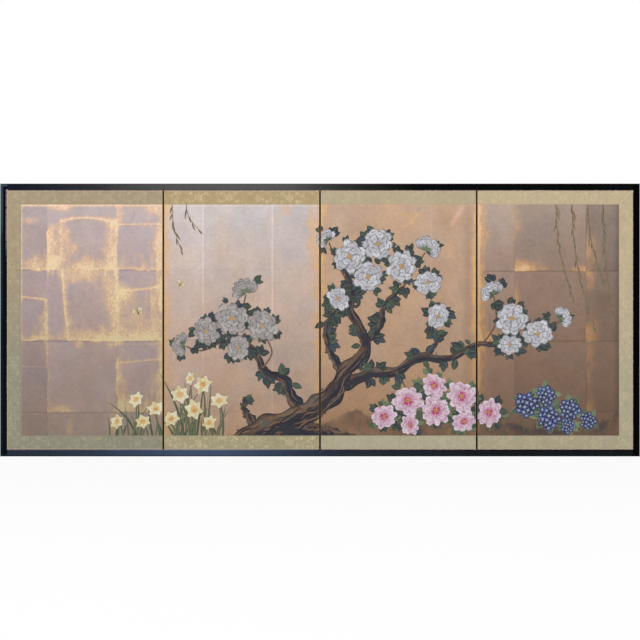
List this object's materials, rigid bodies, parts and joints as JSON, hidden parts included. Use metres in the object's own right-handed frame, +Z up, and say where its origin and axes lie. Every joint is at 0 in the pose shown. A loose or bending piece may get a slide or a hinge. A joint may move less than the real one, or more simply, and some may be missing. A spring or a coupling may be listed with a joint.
{
  "type": "folding screen",
  "caption": "Low folding screen: papered lattice boards with a leafed painted front, brocade border and black lacquer frame, on paper hinges that fold both ways.",
  "frame": {"origin": "on the floor, under the middle of the opened screen", "axes": "+X along the opened screen to the viewer's right, -Y out of the painted front, +Z up"},
  "size_m": [1.4304, 0.018, 0.61],
  "materials": {
    "black_lacquer": "gloss",
    "core_wood": "matte",
    "under_paper": "matte",
    "leafed_painting": "satin",
    "brocade": "matte",
    "back_paper": "matte",
    "hinge_paper": "matte",
    "forged_iron": "matte"
  },
  "bodies": {
    "panel_1": {"panel_1_core_stiles": "core_wood", "panel_1_core_rails": "core_wood", "panel_1_lattice_uprights": "core_wood", "panel_1_lattice_bars": "core_wood", "panel_1_hinge_flaps": "hinge_paper", "panel_1_front_underpaper": "under_paper", "panel_1_back_underpaper": "under_paper", "panel_1_painting": "leafed_painting", "panel_1_back_paper": "back_paper", "panel_1_brocade_border": "brocade", "panel_1_frame_top_rail": "black_lacquer", "panel_1_frame_bottom_rail": "black_lacquer", "panel_1_frame_side_stile": "black_lacquer", "panel_1_frame_nails": "forged_iron"},
    "panel_2": {"panel_2_core_stiles": "core_wood", "panel_2_core_rails": "core_wood", "panel_2_lattice_uprights": "core_wood", "panel_2_lattice_bars": "core_wood", "panel_2_hinge_flaps": "hinge_paper", "panel_2_front_underpaper": "under_paper", "panel_2_back_underpaper": "under_paper", "panel_2_painting": "leafed_painting", "panel_2_back_paper": "back_paper", "panel_2_brocade_border": "brocade", "panel_2_frame_top_rail": "black_lacquer", "panel_2_frame_bottom_rail": "black_lacquer", "panel_2_frame_nails": "forged_iron"},
    "panel_3": {"panel_3_core_stiles": "core_wood", "panel_3_core_rails": "core_wood", "panel_3_lattice_uprights": "core_wood", "panel_3_lattice_bars": "core_wood", "panel_3_hinge_flaps": "hinge_paper", "panel_3_front_underpaper": "under_paper", "panel_3_back_underpaper": "under_paper", "panel_3_painting": "leafed_painting", "panel_3_back_paper": "back_paper", "panel_3_brocade_border": "brocade", "panel_3_frame_top_rail": "black_lacquer", "panel_3_frame_bottom_rail": "black_lacquer", "panel_3_frame_nails": "forged_iron"},
    "panel_4": {"panel_4_core_stiles": "core_wood", "panel_4_core_rails": "core_wood", "panel_4_lattice_uprights": "core_wood", "panel_4_lattice_bars": "core_wood", "panel_4_hinge_flaps": "hinge_paper", "panel_4_front_underpaper": "under_paper", "panel_4_back_underpaper": "under_paper", "panel_4_painting": "leafed_painting", "panel_4_back_paper": "back_paper", "panel_4_brocade_border": "brocade", "panel_4_frame_top_rail": "black_lacquer", "panel_4_frame_bottom_rail": "black_lacquer", "panel_4_frame_side_stile": "black_lacquer", "panel_4_frame_nails": "forged_iron"},
    "joint_1_strips_a": {"joint_1_hinge_webs_a": "hinge_paper"},
    "joint_1_strips_b": {"joint_1_hinge_webs_b": "hinge_paper"},
    "joint_2_strips_a": {"joint_2_hinge_webs_a": "hinge_paper"},
    "joint_2_strips_b": {"joint_2_hinge_webs_b": "hinge_paper"},
    "joint_3_strips_a": {"joint_3_hinge_webs_a": "hinge_paper"},
    "joint_3_strips_b": {"joint_3_hinge_webs_b": "hinge_paper"}
  },
  "joints": [
    {"name": "joint_1_front_hinge", "type": "hinge", "parent": "panel_2", "child": "joint_1_strips_b", "pos_m": [-0.3504, -0.00915, 0.305], "axis": [0, 0, 1], "range_deg": [0, 180]},
    {"name": "joint_1_back_hinge", "type": "hinge", "parent": "joint_1_strips_b", "child": "panel_1", "pos_m": [-0.3504, 0.00915, 0.305], "axis": [0, 0, 1], "range_deg": [-180, 0]},
    {"name": "joint_1_strip_follower", "type": "hinge", "parent": "panel_2", "child": "joint_1_strips_a", "pos_m": [-0.3504, 0.00915, 0.305], "axis": [0, 0, 1], "range_deg": [-180, 0]},
    {"name": "joint_2_front_hinge", "type": "hinge", "parent": "panel_2", "child": "joint_2_strips_a", "pos_m": [0, -0.00915, 0.305], "axis": [0, 0, 1], "range_deg": [-180, 0]},
    {"name": "joint_2_back_hinge", "type": "hinge", "parent": "joint_2_strips_a", "child": "panel_3", "pos_m": [0, 0.00915, 0.305], "axis": [0, 0, 1], "range_deg": [0, 180]},
    {"name": "joint_2_strip_follower", "type": "hinge", "parent": "panel_2", "child": "joint_2_strips_b", "pos_m": [0, 0.00915, 0.305], "axis": [0, 0, 1], "range_deg": [0, 180]},
    {"name": "joint_3_front_hinge", "type": "hinge", "parent": "panel_3", "child": "joint_3_strips_a", "pos_m": [0.3504, -0.00915, 0.305], "axis": [0, 0, -1], "range_deg": [0, 180]},
    {"name": "joint_3_back_hinge", "type": "hinge", "parent": "joint_3_strips_a", "child": "panel_4", "pos_m": [0.3504, 0.00915, 0.305], "axis": [0, 0, -1], "range_deg": [-180, 0]},
    {"name": "joint_3_strip_follower", "type": "hinge", "parent": "panel_3", "child": "joint_3_strips_b", "pos_m": [0.3504, 0.00915, 0.305], "axis": [0, 0, -1], "range_deg": [-180, 0]}
  ],
  "couplings": [
    {"joint": "joint_1_strip_follower", "follows": "joint_1_back_hinge", "ratio": 1},
    {"joint": "joint_2_strip_follower", "follows": "joint_2_back_hinge", "ratio": 1},
    {"joint": "joint_3_strip_follower", "follows": "joint_3_back_hinge", "ratio": 1}
  ]
}
